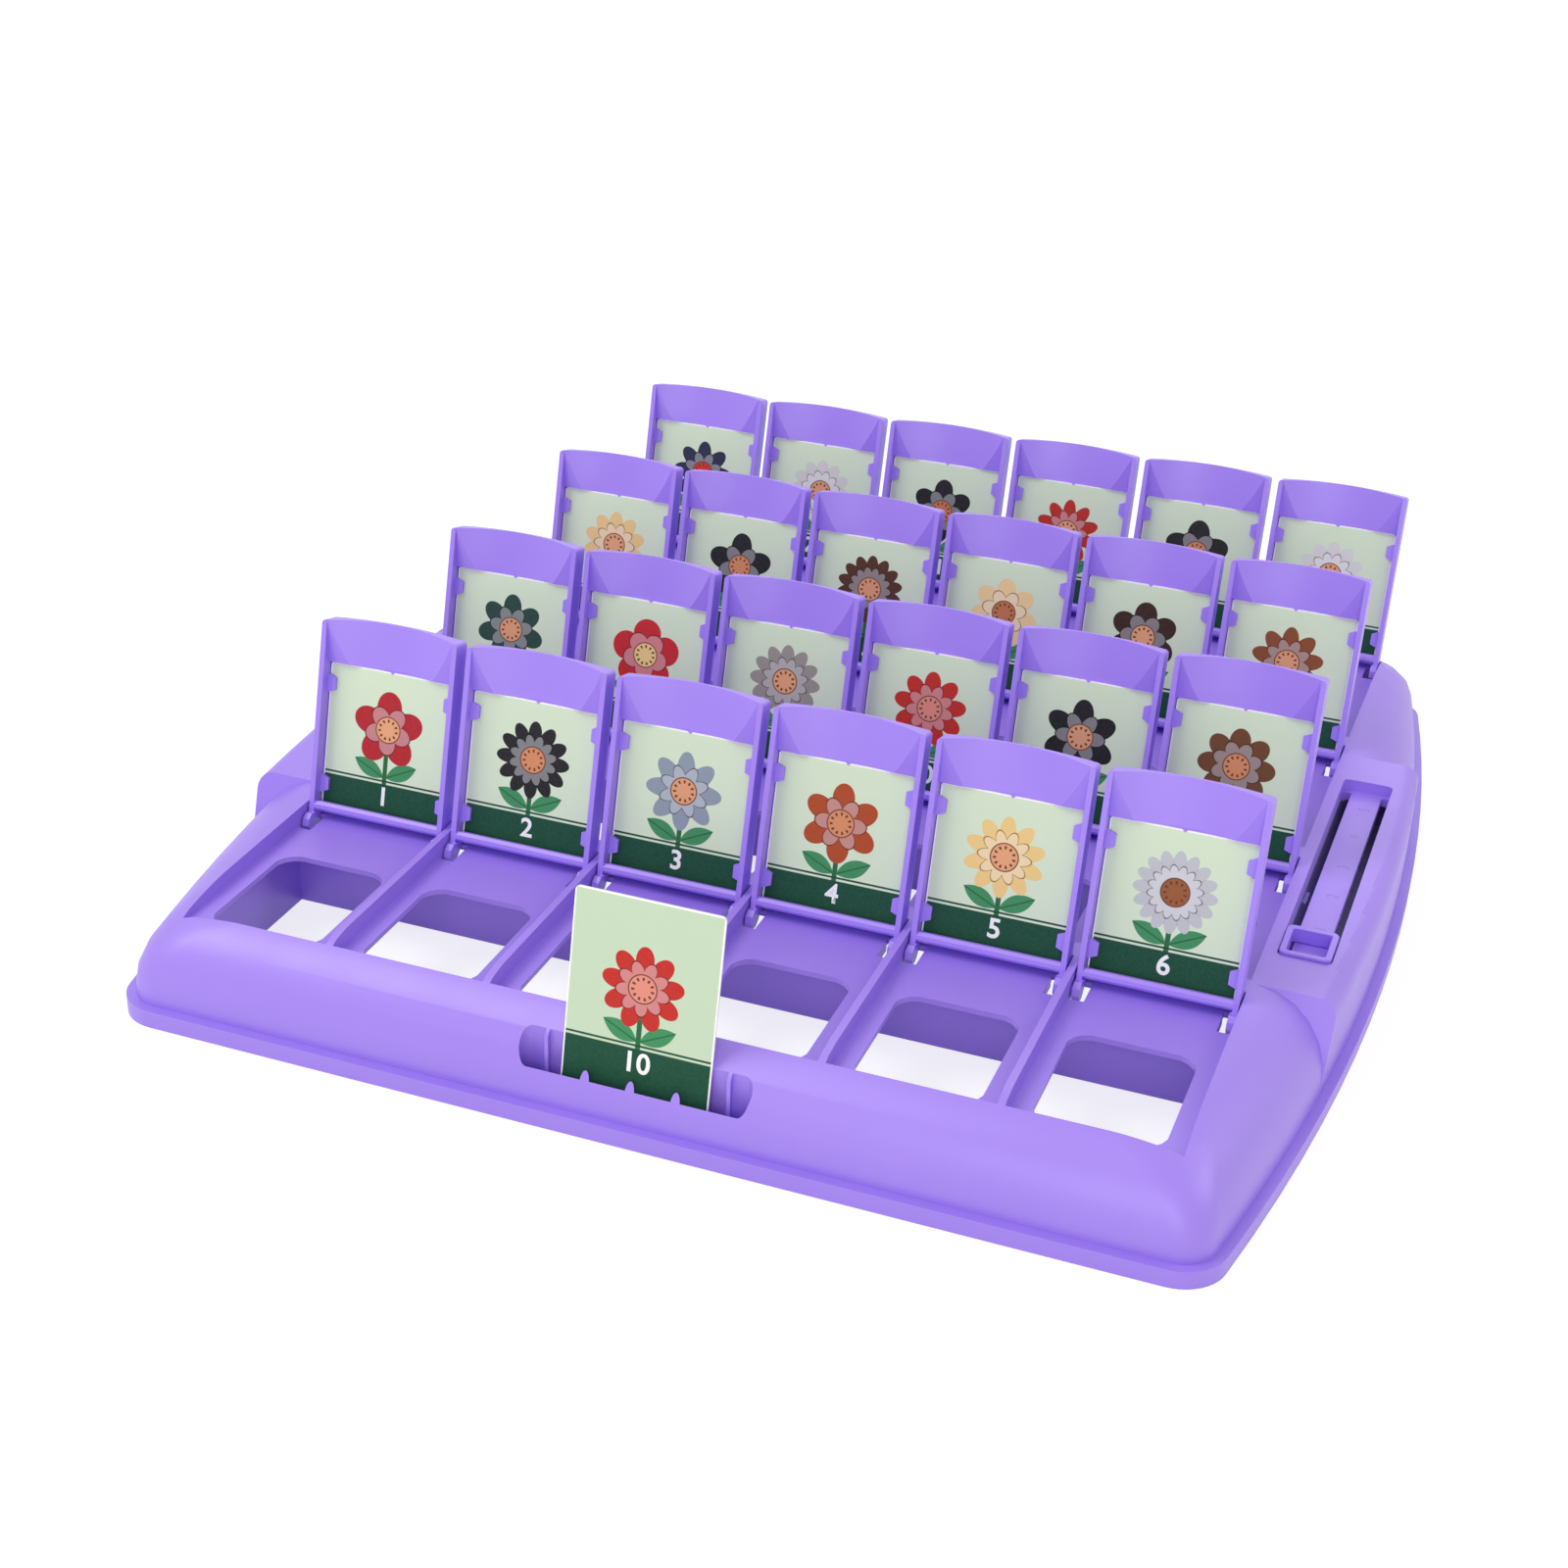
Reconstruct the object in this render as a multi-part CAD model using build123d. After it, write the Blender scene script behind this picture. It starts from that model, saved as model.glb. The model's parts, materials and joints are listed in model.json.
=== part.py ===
"""Face guessing flip game: a moulded board, 24 flip frames with their cards, a mystery card and a
score marker.

Millimetres, +Z up, +Y to the back. The origin lies on the table under the middle of the board.
Every frame turns about its own hinge line along X: it stands leaning back at rest and folds
forward, face down, into its cell."""
from math import atan, cos, degrees, radians, sin, sqrt, tan

from build123d import *
import os

os.makedirs("parts", exist_ok=True)

# ---------------------------------------------------------------- grid of cells
COLUMNS = 6
ROWS = 4
COLUMN_PITCH = 36.0
ROW_PITCH = 61.5
RIB = 1.6                   # rib left between two cells
RECESS = 4.0                # depth of a cell below the deck
SIDE_GAP = 0.4              # play between a frame and the ribs beside it
TIP_GAP = 2.3               # finger room between a folded frame and the front wall of its cell

# ---------------------------------------------------------------- board shell
DECK_TOP = 23.0
WALL = 2.0
FLOOR_WALL = 1.2            # floor of a cell
FLANGE_HEIGHT = 4.0         # upright lip round the foot of the board
LEDGE = 2.2                 # step from the lip to the shell above it
SHOULDER_ROUND = 17.0       # round between deck and sides
SHOULDER_STEPS = 6          # bands that the round is made of
FRONT_MARGIN = 13.3         # front edge to the first cell
REAR_MARGIN = 19.6          # last hinge line to the rear edge
SIDE_RIM = 22.4             # cell grid to the widest point of the board
SIDE_BULGE = 13.6           # how far the sides bow out between the corners
CORNER_RADIUS = 10.0        # corners of the lip, in plan
CORNER_GROWTH = 0.7         # how much wider the shell's corners get for each mm drawn in
INNER_CORNER = 14.0         # corners of the hollow, in plan
CROSS_WALL = 1.8            # wall across the board below each hinge line, down to the table
CROSS_WALL_FRONT = 3.8      # hinge line to the front of that wall
BEAM_HALF = 2.6             # beam below the hinge line that holds the pin sockets
BEAM_HEIGHT = 2.4           # top of a cell floor to the foot of that beam
INNER_BEVEL = 10.5          # bevel inside the shoulder
PAD_BEVEL = 1.5             # bevel inside a pad

# ---------------------------------------------------------------- shoulder pads beside the grid
PAD_FRONT = -60.0
PAD_LENGTH = 114.0
PAD_ROUND = 4.0
PAD_END_RUN = 7.0           # how far a pad's sloping end reaches out at its foot

# ---------------------------------------------------------------- window in each cell floor
WINDOW_WIDTH = 26.0
WINDOW_REAR = 15.5          # hinge line to the window
WINDOW_FRONT = 1.5          # front wall of the cell to the window
WINDOW_CORNER = 5.0

# ---------------------------------------------------------------- flip frame
LEAN = 14.0                 # degrees that a standing frame leans back
FRAME_HEIGHT = 46.6         # hinge line to the top corners
FRAME_ARCH = 0.9            # rise of the top edge above its corners
FRAME_DEPTH = 5.0
FRAME_SIDE = 1.2            # thickness of the side walls
FRAME_SETBACK = 0.4         # hinge line to the front face of the frame
FRAME_FOOT = 1.8            # hinge line to the lower end of the side walls
FRAME_CORNER = 0.8
FOLD_GAP = 0.3              # play between a folded frame and the cell floor
BAR_RADIUS = 1.1
BAR_HEIGHT = 3.6            # hinge line to the middle of the bottom bar
SCOOP_HEIGHT = 9.7          # finger scoop above the card
SCOOP_WALL = 1.0            # wall left behind the middle of the dish
SCOOP_END = 2.3             # depth of the sloping ends where they meet the card
BACK_LIP = 1.3              # thickness of the lip behind the card
LIP = 1.0                   # how far that lip reaches in from the sides, top and bottom
SHELF_THICKNESS = 1.0

# ---------------------------------------------------------------- frame hinge
EAR_RADIUS = 2.2
EAR_WIDTH = 1.6
NECK_RISE = 0.4             # how far an ear's neck runs up into its side wall
NECK_BACK = 1.6             # back of the frame to the neck
PIN_RADIUS = 1.0
PIN_PLAY = 0.06
PIN_SEAT = 0.55             # length of a pin inside its rib
NOTCH_FRONT = 4.0
NOTCH_REAR = 3.6
NOTCH_INNER = 1.5           # clear width of the notch inside the ear
STOP_GAP = 0.1              # play behind a standing frame

# ---------------------------------------------------------------- cards
CARD_THICKNESS = 0.5
CARD_PLAY = 0.2             # play beside a card in its frame
CARD_NICK = 0.6
CARD_CORNER = 0.5           # cut off each corner of a card
CARD_SLACK = 0.05           # play between a card and its tabs
TAB_REACH = 2.0
TAB_ROOT = 4.4              # height of a tab where it leaves the side wall
TAB_TIP = 2.8
TAB_THICKNESS = 0.8
UPPER_TAB = 32.0            # hinge line to the middle of the upper tabs
LOWER_TAB = 8.6

# ---------------------------------------------------------------- mystery card and its slot
SLOT_FRONT = 3.2            # front edge of the board to the slot
SLOT_WIDTH = 49.5
SLOT_DEPTH = 4.5
SLOT_WALL = 1.6
SLOT_FLOOR = 5.0
MYSTERY_WIDTH = 31.6
MYSTERY_HEIGHT = 45.0
MYSTERY_CORNER = 1.0
NUB_RADIUS = 1.0
NUB_SPACING = 9.7
NUB_PROUD = 0.8
SLOT_RIB = 0.8
SLOT_RIB_SPAN = 39.0
SLOT_RIB_PROUD = 1.2

# ---------------------------------------------------------------- score track and marker
TRACK_FRONT = -46.5
TRACK_LENGTH = 87.5
TRACK_WIDTH = 11.5
TRACK_INSET = 2.0           # cell grid to the track
TRACK_DEPTH = 2.8
TRACK_CORNER = 1.5
TRACK_SLOT = 2.2
MARKER_LENGTH = 12.8
MARKER_HEIGHT = 3.4
MARKER_WALL = 1.4
MARKER_PLAY = 0.25
MARKER_LIFT = 0.12          # play between the strip and the marker that rides over it
MARKER_CORNER = 1.5
LEG_LENGTH = 7.0
LEG_THICKNESS = 1.2
HOOK = 0.9

# ---------------------------------------------------------------- derived places
FLOOR_TOP = DECK_TOP - RECESS
FLOOR_BOTTOM = FLOOR_TOP - FLOOR_WALL
HINGE_Z = FLOOR_TOP + FOLD_GAP - FRAME_SETBACK
CELL_REACH = FRAME_HEIGHT + FRAME_ARCH + TIP_GAP
GRID_WIDTH = COLUMNS * COLUMN_PITCH
BOARD_WIDTH = GRID_WIDTH + 2 * SIDE_RIM
BOARD_DEPTH = FRONT_MARGIN + CELL_REACH + (ROWS - 1) * ROW_PITCH + REAR_MARGIN
FIRST_HINGE_Y = -BOARD_DEPTH / 2 + FRONT_MARGIN + CELL_REACH
CELL_WIDTH = COLUMN_PITCH - RIB
FRAME_WIDTH = CELL_WIDTH - 2 * SIDE_GAP
FRAME_BACK = FRAME_SETBACK + FRAME_DEPTH
OPENING_WIDTH = FRAME_WIDTH - 2 * FRAME_SIDE
CARD_WIDTH = OPENING_WIDTH - 2 * CARD_PLAY
SHELF = BAR_HEIGHT - 0.5
OPENING_TOP = FRAME_HEIGHT - SCOOP_HEIGHT
CARD_HEIGHT = OPENING_TOP - SHELF - 2 * CARD_SLACK
CARD_FRONT = FRAME_BACK - BACK_LIP - CARD_THICKNESS - CARD_SLACK
# A standing frame's back meets the deck's edge here, measured from its hinge line.
STOP_RISE = DECK_TOP - HINGE_Z
STOP_Y = FRAME_BACK / cos(radians(LEAN)) + STOP_RISE * tan(radians(LEAN)) + STOP_GAP
TRACK_X = GRID_WIDTH / 2 + TRACK_INSET + TRACK_WIDTH / 2
TRACK_FLOOR = DECK_TOP - TRACK_DEPTH
STRIP_WIDTH = TRACK_WIDTH - 2 * TRACK_SLOT
SLOT_Y = -BOARD_DEPTH / 2 + SLOT_FRONT + SLOT_DEPTH / 2


def column_x(column):
    """Middle of a column of cells."""
    return (column - (COLUMNS - 1) / 2) * COLUMN_PITCH


def hinge_y(row):
    """Hinge line of a row of frames."""
    return FIRST_HINGE_Y + row * ROW_PITCH


def block(x0, x1, y0, y1, z0, z1):
    """Box between two corners."""
    middle = ((x0 + x1) / 2, (y0 + y1) / 2, (z0 + z1) / 2)
    return Pos(*middle) * Box(x1 - x0, y1 - y0, z1 - z0)


def soften(face, corners, radius):
    """Round the last corners of a face in Y order, each as three flats that touch the arc."""
    face = chamfer(face.vertices().sort_by(Axis.Y)[-corners:], radius * (2 - sqrt(2)))
    cut = radius * (tan(radians(22.5)) - tan(radians(11.25)))
    return chamfer(face.vertices().sort_by(Axis.Y)[-2 * corners:], cut)


# ================================================================ board
def plan(inset, corner):
    """Barrel-shaped plan of the board, drawn in by the inset, with its corners rounded."""
    x = BOARD_WIDTH / 2
    y = BOARD_DEPTH / 2
    edge = x - SIDE_BULGE
    sides = [
        Line((-edge, -y), (edge, -y)),
        ThreePointArc((edge, -y), (x, 0), (edge, y)),
        Line((edge, y), (-edge, y)),
        ThreePointArc((-edge, y), (-x, 0), (-edge, -y)),
    ]
    face = make_face(sides)
    if inset:
        face = offset(face, amount=-inset)
    return fillet(face.vertices(), corner)


def shell():
    """Shell above the lip: its sides curve in from upright to the level of the deck."""
    upright = plan(LEDGE, CORNER_RADIUS - LEDGE)
    sections = []
    for step in range(SHOULDER_STEPS + 1):
        turn = radians(90 * step / SHOULDER_STEPS)
        draw_in = SHOULDER_ROUND * (1 - cos(turn))
        corner = CORNER_RADIUS - LEDGE + CORNER_GROWTH * draw_in
        height = DECK_TOP - SHOULDER_ROUND * (1 - sin(turn))
        sections.append(Pos(0, 0, height) * plan(LEDGE + draw_in, corner))
    return extrude(upright, DECK_TOP - SHOULDER_ROUND) + loft(sections, ruled=True)


def pads(slab, top, draw_in):
    """Shoulders on both sides, which carry the full deck height out beside the score track."""
    low = PAD_FRONT - PAD_END_RUN + draw_in
    high = PAD_FRONT + PAD_LENGTH + PAD_END_RUN - draw_in
    profile = make_face(
        Polyline(
            (low, 0),
            (high, 0),
            (high, FLANGE_HEIGHT),
            (high - PAD_END_RUN, top),
            (low + PAD_END_RUN, top),
            (low, FLANGE_HEIGHT),
            close=True,
        )
    )
    start = Plane.YZ.offset(GRID_WIDTH / 2)
    right = slab & extrude(start * profile, SIDE_RIM)
    return right + mirror(right, about=Plane.YZ)


def top_edges(slab):
    """Edges round the top of a slab."""
    return slab.faces().sort_by(Axis.Z)[-1].edges()


def outer_form():
    """Outer form of the board: lip, rounded shell and pads."""
    slab = extrude(plan(LEDGE, CORNER_RADIUS - LEDGE), DECK_TOP)
    form = extrude(plan(0, CORNER_RADIUS), FLANGE_HEIGHT)
    form += shell()
    form += pads(fillet(top_edges(slab), PAD_ROUND), DECK_TOP, 0)
    return form


def inner_form():
    """Hollow under the outer form, with bevels where the outside is rounded."""
    top = DECK_TOP - WALL
    slab = extrude(plan(LEDGE + WALL, INNER_CORNER), top)
    form = extrude(plan(WALL, CORNER_RADIUS - WALL), FLANGE_HEIGHT - WALL)
    form += chamfer(top_edges(slab), INNER_BEVEL)
    form += pads(chamfer(top_edges(slab), PAD_BEVEL), top, WALL)
    return form


def cell_floors():
    """Solid zones left in the hollow: trays under the rows of cells, the track and the card slot."""
    half = GRID_WIDTH / 2 + RIB / 2 + WALL
    zones = []
    for row in range(ROWS):
        y = hinge_y(row)
        zones.append(block(-half, half, y - CELL_REACH - WALL, y + STOP_Y + WALL, FLOOR_BOTTOM, DECK_TOP))
        zones.append(block(-half, half, y - BEAM_HALF, y + BEAM_HALF, FLOOR_TOP - BEAM_HEIGHT, DECK_TOP))
    zones.append(
        block(
            TRACK_X - TRACK_WIDTH / 2 - WALL,
            TRACK_X + TRACK_WIDTH / 2 + WALL,
            TRACK_FRONT - WALL,
            TRACK_FRONT + TRACK_LENGTH + WALL,
            TRACK_FLOOR - WALL,
            DECK_TOP,
        )
    )
    x = SLOT_WIDTH / 2 + SLOT_WALL
    y = SLOT_DEPTH / 2 + SLOT_WALL
    zones.append(block(-x, x, SLOT_Y - y, SLOT_Y + y, SLOT_FLOOR - SLOT_WALL, DECK_TOP))
    return zones


def grid_walls():
    """Walls down to the table: across the board below each hinge line, and along both sides."""
    inner = (GRID_WIDTH - RIB) / 2
    outer = (GRID_WIDTH + RIB) / 2
    walls = []
    for row in range(ROWS):
        front = hinge_y(row) - CROSS_WALL_FRONT
        walls.append(block(-outer, outer, front, front + CROSS_WALL, 0, FLOOR_BOTTOM))
    low = hinge_y(0) - CELL_REACH
    high = hinge_y(ROWS - 1) + STOP_Y
    walls.append(block(-outer, -inner, low, high, 0, FLOOR_BOTTOM))
    walls.append(block(inner, outer, low, high, 0, FLOOR_BOTTOM))
    return walls


def cell_cuts():
    """Recess, window and ear notches of every cell, and the pins' square sockets in the ribs."""
    window_length = CELL_REACH - WINDOW_FRONT - WINDOW_REAR
    opening = soften(make_face(Rectangle(WINDOW_WIDTH, window_length).edges()), 4, WINDOW_CORNER)
    window = Pos(0, -WINDOW_REAR - window_length / 2, FLOOR_BOTTOM) * extrude(opening, RECESS)
    side = CELL_WIDTH / 2
    notch_edge = FRAME_WIDTH / 2 - EAR_WIDTH - NOTCH_INNER
    low = HINGE_Z - EAR_RADIUS - FOLD_GAP
    cell = block(-side, side, -CELL_REACH, STOP_Y, FLOOR_TOP, DECK_TOP)
    cell += window
    cell += block(notch_edge, side, -NOTCH_FRONT, NOTCH_REAR, low, DECK_TOP)
    cell += block(-side, -notch_edge, -NOTCH_FRONT, NOTCH_REAR, low, DECK_TOP)
    socket = 2 * (PIN_RADIUS + PIN_PLAY)
    cuts = []
    for row in range(ROWS):
        for column in range(COLUMNS):
            cuts.append(Pos(column_x(column), hinge_y(row), 0) * cell)
        for line in range(COLUMNS + 1):
            x = column_x(line) - COLUMN_PITCH / 2
            cuts.append(Pos(x, hinge_y(row), HINGE_Z) * Box(RIB, socket, socket))
    return cuts


def track_cuts():
    """Sunken score track with a slot along each side of its strip."""
    middle = TRACK_FRONT + TRACK_LENGTH / 2
    tray = RectangleRounded(TRACK_WIDTH, TRACK_LENGTH, TRACK_CORNER)
    cut = Pos(TRACK_X, middle, TRACK_FLOOR) * extrude(tray, TRACK_DEPTH)
    start = TRACK_FRONT + MARKER_WALL
    end = TRACK_FRONT + TRACK_LENGTH - TRACK_CORNER
    low = TRACK_FLOOR - WALL - HOOK - 2 * MARKER_PLAY
    for side in (-1, 1):
        x = TRACK_X + side * (STRIP_WIDTH + TRACK_SLOT) / 2
        cut += block(x - TRACK_SLOT / 2, x + TRACK_SLOT / 2, start, end, low, DECK_TOP)
    return cut


def card_slot():
    """Slot for the mystery card in the front slope, without the nubs and ribs left standing in it."""
    plan = SlotOverall(SLOT_WIDTH, SLOT_DEPTH)
    cut = Pos(0, SLOT_Y, SLOT_FLOOR) * extrude(plan, DECK_TOP - SLOT_FLOOR + 1)
    front = SLOT_Y - SLOT_DEPTH / 2
    rear = SLOT_Y + SLOT_DEPTH / 2
    for place in (-1, 0, 1):
        nub = Cylinder(NUB_RADIUS, DECK_TOP, align=(Align.CENTER, Align.CENTER, Align.MIN))
        cut -= Pos(place * NUB_SPACING, front + NUB_PROUD - NUB_RADIUS, 0) * nub
    for side in (-1, 1):
        x = side * SLOT_RIB_SPAN / 2
        cut -= block(x - SLOT_RIB / 2, x + SLOT_RIB / 2, rear - SLOT_RIB_PROUD, rear, 0, DECK_TOP)
    return cut


def base_board():
    """The moulded board, open below."""
    hollow = inner_form() - cell_floors() - grid_walls()
    return outer_form() - hollow - cell_cuts() - track_cuts() - card_slot()


# ================================================================ flip frame
def flip_frame():
    """One frame, upright, with its hinge line on the X axis through the origin."""
    half = FRAME_WIDTH / 2
    inner = OPENING_WIDTH / 2
    face = make_face(
        [
            Line((-half, FRAME_FOOT), (half, FRAME_FOOT)),
            Line((half, FRAME_FOOT), (half, FRAME_HEIGHT)),
            ThreePointArc(
                (half, FRAME_HEIGHT),
                (0, FRAME_HEIGHT + FRAME_ARCH),
                (-half, FRAME_HEIGHT),
            ),
            Line((-half, FRAME_HEIGHT), (-half, FRAME_FOOT)),
        ]
    )
    face = soften(face, 2, FRAME_CORNER)
    upright = Plane((0, FRAME_SETBACK, 0), x_dir=(1, 0, 0), z_dir=(0, -1, 0))
    frame = extrude(upright * face, -FRAME_DEPTH)
    frame -= block(-inner, inner, 0, FRAME_BACK - BACK_LIP, 0, OPENING_TOP)
    frame -= block(LIP - inner, inner - LIP, 0, FRAME_BACK + 1, 0, OPENING_TOP - LIP)
    frame -= block(-inner, inner, 0, FRAME_BACK + 1, 0, SHELF)
    frame -= scoop_cut()
    frame += bottom_bar()
    frame += ears()
    frame += tabs()
    return frame


def bottom_bar():
    """Bar below the card, with the shelf the card stands on and the lip behind it."""
    front = FRAME_SETBACK
    middle = FRAME_SETBACK + BAR_RADIUS
    low = BAR_HEIGHT - BAR_RADIUS
    high = BAR_HEIGHT + BAR_RADIUS
    lip = FRAME_BACK - BACK_LIP
    flat = BAR_RADIUS * tan(radians(22.5))
    profile = make_face(
        Polyline(
            (middle, low),
            (middle - flat, low),
            (front, BAR_HEIGHT - flat),
            (front, BAR_HEIGHT + flat),
            (middle - flat, high),
            (middle + flat, high),
            (middle + BAR_RADIUS, SHELF),
            (lip, SHELF),
            (lip, SHELF + LIP),
            (FRAME_BACK, SHELF + LIP),
            (FRAME_BACK, SHELF - SHELF_THICKNESS),
            close=True,
        )
    )
    inner = OPENING_WIDTH / 2
    return extrude(Plane.YZ.offset(-inner) * profile, 2 * inner)


def scoop_cut():
    """Finger scoop: a bowed dish that is open at the top, between ends that slope back to the card."""
    front = FRAME_SETBACK
    proud = front - 1
    inner = OPENING_WIDTH / 2
    slope = make_face(
        Polyline(
            (front, FRAME_HEIGHT),
            (front + SCOOP_END, OPENING_TOP),
            (proud, OPENING_TOP),
            (proud, FRAME_HEIGHT),
            close=True,
        )
    )
    dish = make_face(
        [
            ThreePointArc((-inner, front), (0, FRAME_BACK - SCOOP_WALL), (inner, front)),
            Line((inner, front), (inner, proud)),
            Line((inner, proud), (-inner, proud)),
            Line((-inner, proud), (-inner, front)),
        ]
    )
    ends = extrude(Plane.YZ.offset(-inner) * slope, 2 * inner)
    return ends + Pos(0, 0, OPENING_TOP) * extrude(dish, SCOOP_HEIGHT + 2 * FRAME_ARCH)


def ears():
    """Feet at both lower corners, reaching forward to the hinge pins. Foot and pin have eight flats."""
    half = FRAME_WIDTH / 2
    neck = make_face(
        Polyline(
            (-0.9 * EAR_RADIUS, 0.4 * EAR_RADIUS),
            (FRAME_SETBACK, FRAME_FOOT + NECK_RISE),
            (FRAME_BACK - NECK_BACK, FRAME_FOOT + NECK_RISE),
            (0.9 * EAR_RADIUS, -0.4 * EAR_RADIUS),
            close=True,
        )
    )
    profile = neck + RegularPolygon(EAR_RADIUS, 8, rotation=22.5)
    made = []
    for side in (-1, 1):
        x = half - EAR_WIDTH if side > 0 else -half
        ear = extrude(Plane.YZ.offset(x) * profile, EAR_WIDTH)
        tip = half + SIDE_GAP + PIN_SEAT
        pin = extrude(Plane.YZ.offset(half) * RegularPolygon(PIN_RADIUS, 8, rotation=22.5), tip - half)
        if side < 0:
            pin = mirror(pin, about=Plane.YZ)
        made += [ear, pin]
    return made


def tabs():
    """Tapered tabs that hold the card against the lip: an upper and a lower pair."""
    inner = OPENING_WIDTH / 2
    plan = make_face(
        Polyline(
            (inner, -TAB_ROOT / 2),
            (inner, TAB_ROOT / 2),
            (inner - TAB_REACH, TAB_TIP / 2),
            (inner - TAB_REACH, -TAB_TIP / 2),
            close=True,
        )
    )
    made = []
    for height in (UPPER_TAB, LOWER_TAB):
        plane = Plane((0, CARD_FRONT - CARD_SLACK, height), x_dir=(1, 0, 0), z_dir=(0, -1, 0))
        tab = extrude(plane * plan, TAB_THICKNESS)
        made += [tab, mirror(tab, about=Plane.YZ)]
    return made


def frame_card():
    """Card in its frame, with the small nicks at the middle of its top and bottom edges."""
    plan = chamfer(Rectangle(CARD_WIDTH, CARD_HEIGHT).vertices(), CARD_CORNER)
    nick = Rot(0, 0, 45) * Rectangle(1.4 * CARD_NICK, 1.4 * CARD_NICK)
    for end in (-1, 1):
        plan -= Pos(0, end * CARD_HEIGHT / 2) * nick
    plane = Plane(
        (0, CARD_FRONT + CARD_THICKNESS, SHELF + CARD_SLACK + CARD_HEIGHT / 2),
        x_dir=(1, 0, 0),
        z_dir=(0, -1, 0),
    )
    return extrude(plane * plan, CARD_THICKNESS)


# ================================================================ loose pieces of the board
def mystery_card():
    """Mystery card, standing in its slot against the nubs and the rear edge of the slot."""
    bottom_y = SLOT_Y - SLOT_DEPTH / 2 + NUB_PROUD + 0.3
    out = LEDGE + SHOULDER_ROUND - SLOT_FRONT - SLOT_DEPTH
    rim = DECK_TOP - SHOULDER_ROUND + sqrt(SHOULDER_ROUND**2 - out**2)
    rise = rim - 0.5 - SLOT_FLOOR
    run = SLOT_Y + SLOT_DEPTH / 2 - 0.3 - CARD_THICKNESS - bottom_y
    lean = degrees(atan(run / rise))
    plan = Pos(0, MYSTERY_HEIGHT / 2) * RectangleRounded(MYSTERY_WIDTH, MYSTERY_HEIGHT, MYSTERY_CORNER)
    plane = Plane((0, CARD_THICKNESS, 0), x_dir=(1, 0, 0), z_dir=(0, -1, 0))
    card = extrude(plane * plan, CARD_THICKNESS)
    return Pos(0, bottom_y, SLOT_FLOOR + 0.2) * Rot(-lean, 0, 0) * card


def score_marker():
    """Open marker that rides on the strip of the score track, hooked under it on both sides."""
    length = MARKER_LENGTH - 2 * MARKER_PLAY
    width = TRACK_WIDTH - 2 * MARKER_PLAY
    plan = RectangleRounded(width, length, MARKER_CORNER)
    plan -= RectangleRounded(width - 2 * MARKER_WALL, length - 2 * MARKER_WALL, 0.6)
    body = extrude(plan, MARKER_HEIGHT)
    depth = WALL + MARKER_PLAY
    for side in (-1, 1):
        outer = side * width / 2
        inner = side * (width / 2 - LEG_THICKNESS)
        x0, x1 = sorted((outer, inner))
        body += block(x0, x1, -LEG_LENGTH / 2, LEG_LENGTH / 2, -depth - HOOK, 0.2)
        hook = side * (STRIP_WIDTH / 2 - HOOK)
        x0, x1 = sorted((outer, hook))
        body += block(x0, x1, -LEG_LENGTH / 2, LEG_LENGTH / 2, -depth - HOOK, -depth)
    y = TRACK_FRONT + MARKER_PLAY + length / 2
    return Pos(TRACK_X, y, TRACK_FLOOR + MARKER_LIFT) * body


# ================================================================ assembly
export_step(base_board(), "parts/board.step")
export_step(mystery_card(), "parts/mystery_card.step")
export_step(score_marker(), "parts/score_marker.step")

frame = flip_frame()
card = frame_card()
for row in range(ROWS):
    for column in range(COLUMNS):
        seat = Pos(column_x(column), hinge_y(row), HINGE_Z) * Rot(-LEAN, 0, 0)
        place = f"r{row + 1}_c{column + 1}"
        export_step(seat * frame, f"parts/frame_{place}.step")
        export_step(seat * card, f"parts/card_{place}.step")
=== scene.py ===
# %% [markdown]
# # A face guessing flip game
#
# The toy is one moulded board with four rows of six sunken cells. A small frame is hinged in each
# cell and holds a picture card. A mystery card stands in a slot at the front, and a marker slides
# along a score track on the right. All of these shapes are solids that come from CAD. This file
# adds what a solid can't say: soft edges, the look of violet plastic, the prints on the cards, the
# numbers, light and a camera. Everything is in metres, in the same frame as the CAD model.

# %% Load the fixed frame
import json
import math

import bpy
import numpy as np
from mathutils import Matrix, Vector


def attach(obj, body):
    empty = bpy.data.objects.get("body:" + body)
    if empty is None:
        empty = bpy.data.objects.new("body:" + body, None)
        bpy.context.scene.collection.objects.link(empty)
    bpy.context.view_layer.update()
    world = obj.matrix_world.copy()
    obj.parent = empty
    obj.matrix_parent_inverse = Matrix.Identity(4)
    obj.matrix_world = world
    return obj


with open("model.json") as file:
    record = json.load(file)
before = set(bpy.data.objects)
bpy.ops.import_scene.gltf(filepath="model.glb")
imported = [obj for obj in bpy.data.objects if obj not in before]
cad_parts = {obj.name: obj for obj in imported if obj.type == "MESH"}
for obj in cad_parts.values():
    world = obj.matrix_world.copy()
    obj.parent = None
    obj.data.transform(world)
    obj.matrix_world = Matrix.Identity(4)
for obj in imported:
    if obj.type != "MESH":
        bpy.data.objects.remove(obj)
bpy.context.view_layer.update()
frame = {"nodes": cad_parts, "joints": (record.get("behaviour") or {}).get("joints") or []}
MM = 0.001

# %% [markdown]
# ## Where the cards stand
#
# Every flip frame turns about a pin line that runs along X, and leans back a little at rest. The
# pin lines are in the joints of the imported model, so they are read from there and not typed again.
# The mystery card leans too, along the axis on which it lifts out. A point on a card is then given
# by three numbers: across the card, up the card from its foot line, and depth into it.

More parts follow.
